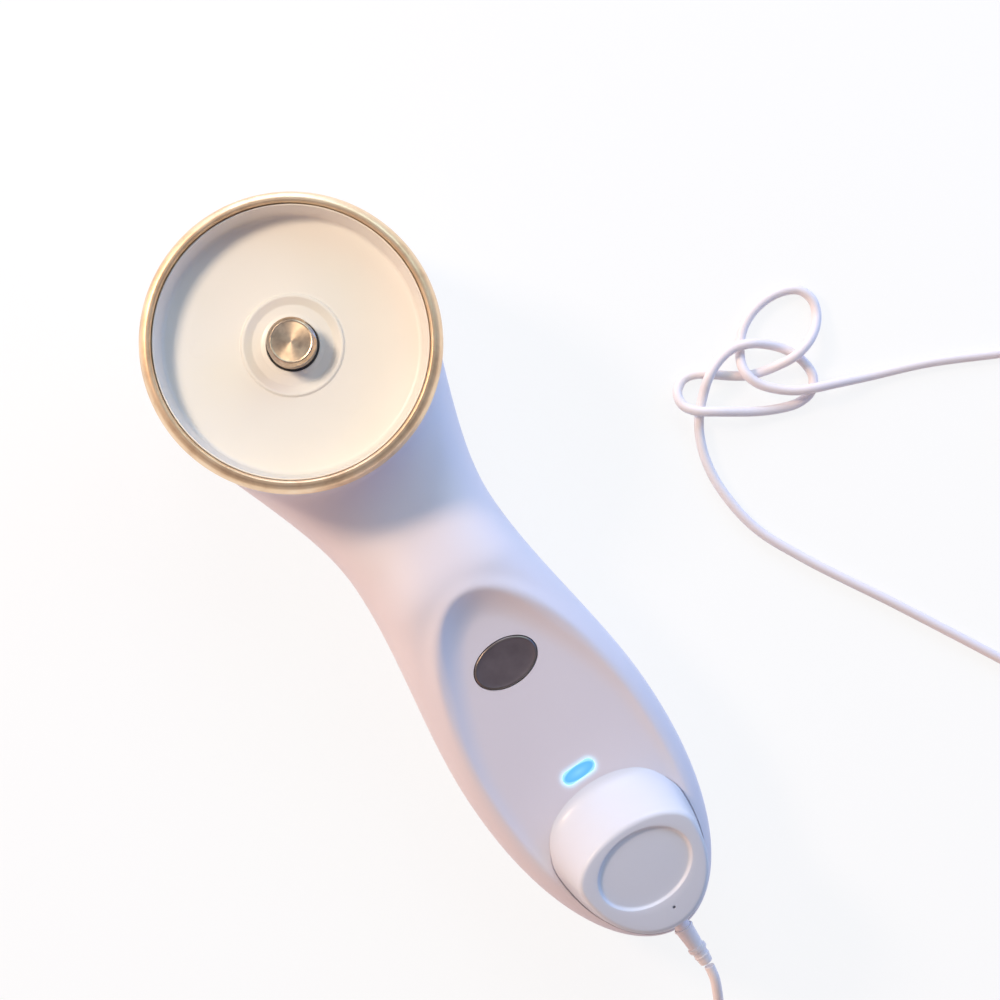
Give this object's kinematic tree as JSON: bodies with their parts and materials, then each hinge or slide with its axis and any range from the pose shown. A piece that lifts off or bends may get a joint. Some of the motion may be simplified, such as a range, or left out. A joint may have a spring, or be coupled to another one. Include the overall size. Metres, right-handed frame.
{
  "type": "facial cleansing device",
  "caption": "Hand-held facial cleansing device on its back, open brush head with drive shaft, button and status light, magnetic charging puck on the handle's tail.",
  "frame": {"origin": "middle of the length and width of the device and its charging puck, on the surface that its back rests on", "axes": "+Y along the handle from its tail to its round head, +X across it to the right as seen from the front, +Z out of its front face"},
  "size_m": [0.1748, 0.2422, 0.0348],
  "materials": {
    "shell": "smooth white, softly glossy",
    "ring": "polished, champagne anodised",
    "cup": "satin warm white",
    "steel": "turned, polished",
    "button": "dark anodised, light cut rim",
    "light": "clear pale blue, lit from below",
    "puck": "satin light grey",
    "lead": "smooth white jacket",
    "rubber": "moulded black silicone",
    "nylon": "natural moulding",
    "board": "glass epoxy with solder mask",
    "cell": "foil pouch",
    "gold": "gold plated",
    "magnet": "nickel plated",
    "red_wire": "red insulation",
    "black_wire": "black insulation"
  },
  "bodies": {
    "body": {"front_shell": "shell", "rear_shell": "shell", "joint_band": "rubber", "head_ring": "ring", "head_cup": "cup", "shaft_seal": "rubber", "upper_bearing": "steel", "lower_bearing": "steel", "gearbox_plate": "nylon", "gearbox_screw_1": "steel", "gearbox_screw_2": "steel", "gearbox_screw_3": "steel", "motor_can": "steel", "motor_end_cap": "nylon", "button_seal": "rubber", "tact_switch": "rubber", "light_pipe": "light", "status_led": "light", "circuit_board": "board", "board_screw_left_1": "steel", "board_screw_right_1": "steel", "board_screw_left_2": "steel", "board_screw_right_2": "steel", "battery_cell": "cell", "battery_cradle": "nylon", "charge_contact_left": "gold", "charge_contact_right": "gold", "handle_magnet_left": "magnet", "handle_magnet_right": "magnet", "motor_wire_left": "red_wire", "motor_wire_right": "black_wire", "contact_wire_left": "red_wire", "contact_wire_right": "black_wire", "lead_loops": "lead", "lead_coil": "lead", "coil_tie": "rubber", "plug_body": "lead", "plug_shell": "steel", "plug_tongue": "nylon"},
    "output": {"output_shaft": "steel", "output_gear": "nylon", "shaft_clip": "steel"},
    "rotor": {"motor_rotor": "steel", "motor_pinion": "gold"},
    "button": {"button_cap": "button", "switch_plunger": "nylon"},
    "charger": {"puck_cover": "puck", "puck_base": "puck", "puck_board": "board", "puck_magnet_left": "magnet", "puck_magnet_right": "magnet", "spring_pin_left": "gold", "spring_pin_right": "gold", "strain_relief": "lead", "charging_lead": "lead"}
  },
  "joints": [
    {"name": "shaft_spin", "type": "hinge", "parent": "body", "child": "output", "pos_m": [0, 0.05724, 0], "axis": [0, 0, 1], "continuous": true},
    {"name": "pinion_spin", "type": "hinge", "parent": "body", "child": "rotor", "pos_m": [0, 0.04084, 0], "axis": [0, 0, 1], "continuous": true},
    {"name": "button_press", "type": "slide", "parent": "body", "child": "button", "axis": [0, 0.1045, -0.9945], "range_m": [0, 0.0005], "stiffness_N_per_m": 2000, "springref_m": -0.0005},
    {"name": "charger_lift", "type": "slide", "parent": "body", "child": "charger", "axis": [0, -0.1045, 0.9945], "range_m": [0, 0.025]}
  ],
  "couplings": [
    {"joint": "pinion_spin", "follows": "shaft_spin", "ratio": -3.1}
  ]
}
